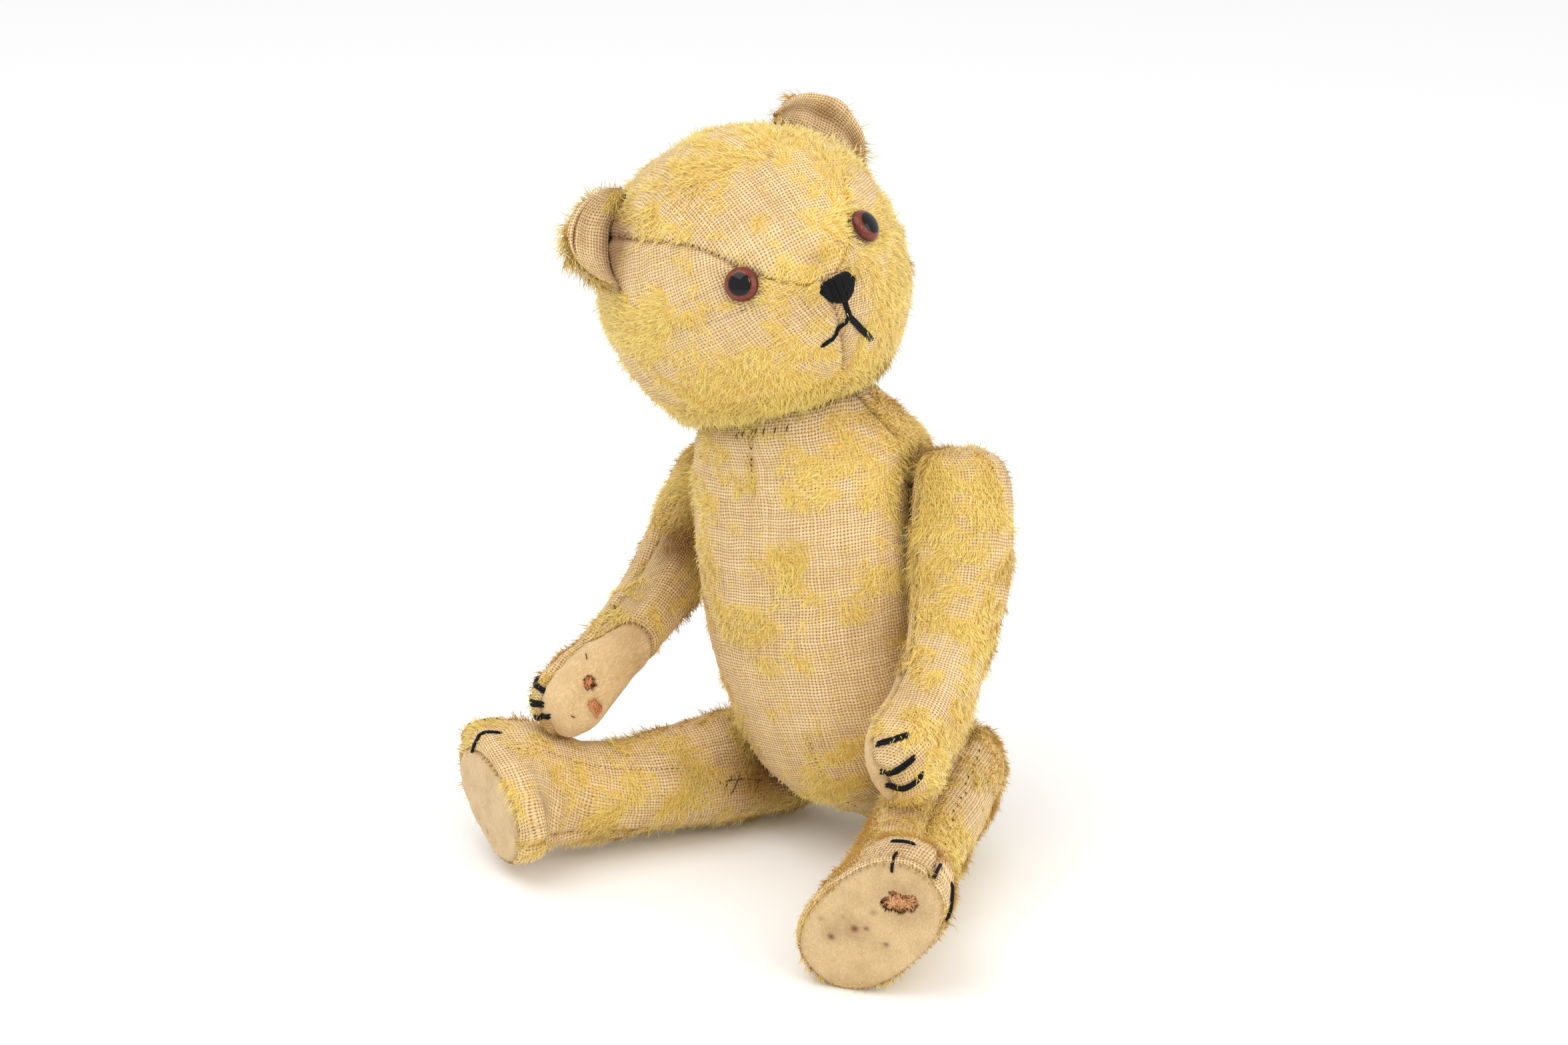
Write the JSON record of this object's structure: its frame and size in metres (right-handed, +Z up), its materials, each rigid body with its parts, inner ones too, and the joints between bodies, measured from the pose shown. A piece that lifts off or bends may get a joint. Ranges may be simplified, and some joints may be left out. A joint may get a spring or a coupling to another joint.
{
  "type": "jointed teddy bear",
  "caption": "Old seated mohair bear with a round head, felt paws and soles, glass eyes and disc joints at neck, shoulders and hips.",
  "frame": {"origin": "the flat under the rump that the bear sits on, at floor level", "axes": "+Z up, -Y the way the chest faces, +X the bear's left"},
  "size_m": [0.1954, 0.1553, 0.2368],
  "materials": {
    "mohair_cloth": "worn pile over a woven backing",
    "wool_felt": "worn felt",
    "wood_wool": "loose shavings",
    "hardboard": "raw",
    "steel_wire": "dull",
    "eye_glass": "polished, painted on the back",
    "nose_floss": "satin stitched cotton"
  },
  "bodies": {
    "torso": {"body_back_panel": "mohair_cloth", "body_front_panel": "mohair_cloth", "body_stuffing": "wood_wool", "left_hip_body_disc": "hardboard", "left_hip_body_washer": "steel_wire", "left_hip_pin": "steel_wire", "left_shoulder_body_disc": "hardboard", "left_shoulder_body_washer": "steel_wire", "left_shoulder_pin": "steel_wire", "neck_body_disc": "hardboard", "neck_body_washer": "steel_wire", "neck_pin": "steel_wire", "right_hip_body_disc": "hardboard", "right_hip_body_washer": "steel_wire", "right_hip_pin": "steel_wire", "right_shoulder_body_disc": "hardboard", "right_shoulder_body_washer": "steel_wire", "right_shoulder_pin": "steel_wire"},
    "head": {"head_gusset": "mohair_cloth", "head_left_side": "mohair_cloth", "head_right_side": "mohair_cloth", "head_stuffing": "wood_wool", "left_ear_back": "mohair_cloth", "left_ear_front": "mohair_cloth", "left_eye": "eye_glass", "left_eye_shank": "steel_wire", "neck_limb_disc": "hardboard", "neck_limb_washer": "steel_wire", "nose_stitching": "nose_floss", "right_ear_back": "mohair_cloth", "right_ear_front": "mohair_cloth", "right_eye": "eye_glass", "right_eye_shank": "steel_wire"},
    "left_arm": {"left_arm_inner_panel": "mohair_cloth", "left_arm_outer_panel": "mohair_cloth", "left_arm_stuffing": "wood_wool", "left_paw_pad": "wool_felt", "left_shoulder_limb_disc": "hardboard", "left_shoulder_limb_washer": "steel_wire"},
    "left_leg": {"left_foot_sole": "wool_felt", "left_hip_limb_disc": "hardboard", "left_hip_limb_washer": "steel_wire", "left_leg_inner_panel": "mohair_cloth", "left_leg_outer_panel": "mohair_cloth", "left_leg_stuffing": "wood_wool"},
    "right_arm": {"right_arm_inner_panel": "mohair_cloth", "right_arm_outer_panel": "mohair_cloth", "right_arm_stuffing": "wood_wool", "right_paw_pad": "wool_felt", "right_shoulder_limb_disc": "hardboard", "right_shoulder_limb_washer": "steel_wire"},
    "right_leg": {"right_foot_sole": "wool_felt", "right_hip_limb_disc": "hardboard", "right_hip_limb_washer": "steel_wire", "right_leg_inner_panel": "mohair_cloth", "right_leg_outer_panel": "mohair_cloth", "right_leg_stuffing": "wood_wool"}
  },
  "joints": [
    {"name": "neck_turn", "type": "hinge", "parent": "torso", "child": "head", "pos_m": [-0.03475, -0.01513, 0.14418], "axis": [-0.323, 0.0294, 0.9459], "continuous": true},
    {"name": "left_shoulder_swing", "type": "hinge", "parent": "torso", "child": "left_arm", "pos_m": [0.01448, -0.00965, 0.11827], "axis": [0.9796, 0.08, 0.1844], "range_deg": [-95, 0]},
    {"name": "right_shoulder_swing", "type": "hinge", "parent": "torso", "child": "right_arm", "pos_m": [-0.05968, -0.00867, 0.10358], "axis": [-0.967, 0.17, -0.1896], "range_deg": [0, 75]},
    {"name": "left_hip_swing", "type": "hinge", "parent": "torso", "child": "left_leg", "pos_m": [0.01755, -0.01624, 0.03014], "axis": [0.9122, 0.0831, -0.4011], "range_deg": [0, 62]},
    {"name": "right_hip_swing", "type": "hinge", "parent": "torso", "child": "right_leg", "pos_m": [-0.02615, -0.02312, 0.02598], "axis": [-0.8116, 0.183, -0.5547], "range_deg": [-62, 0]}
  ]
}
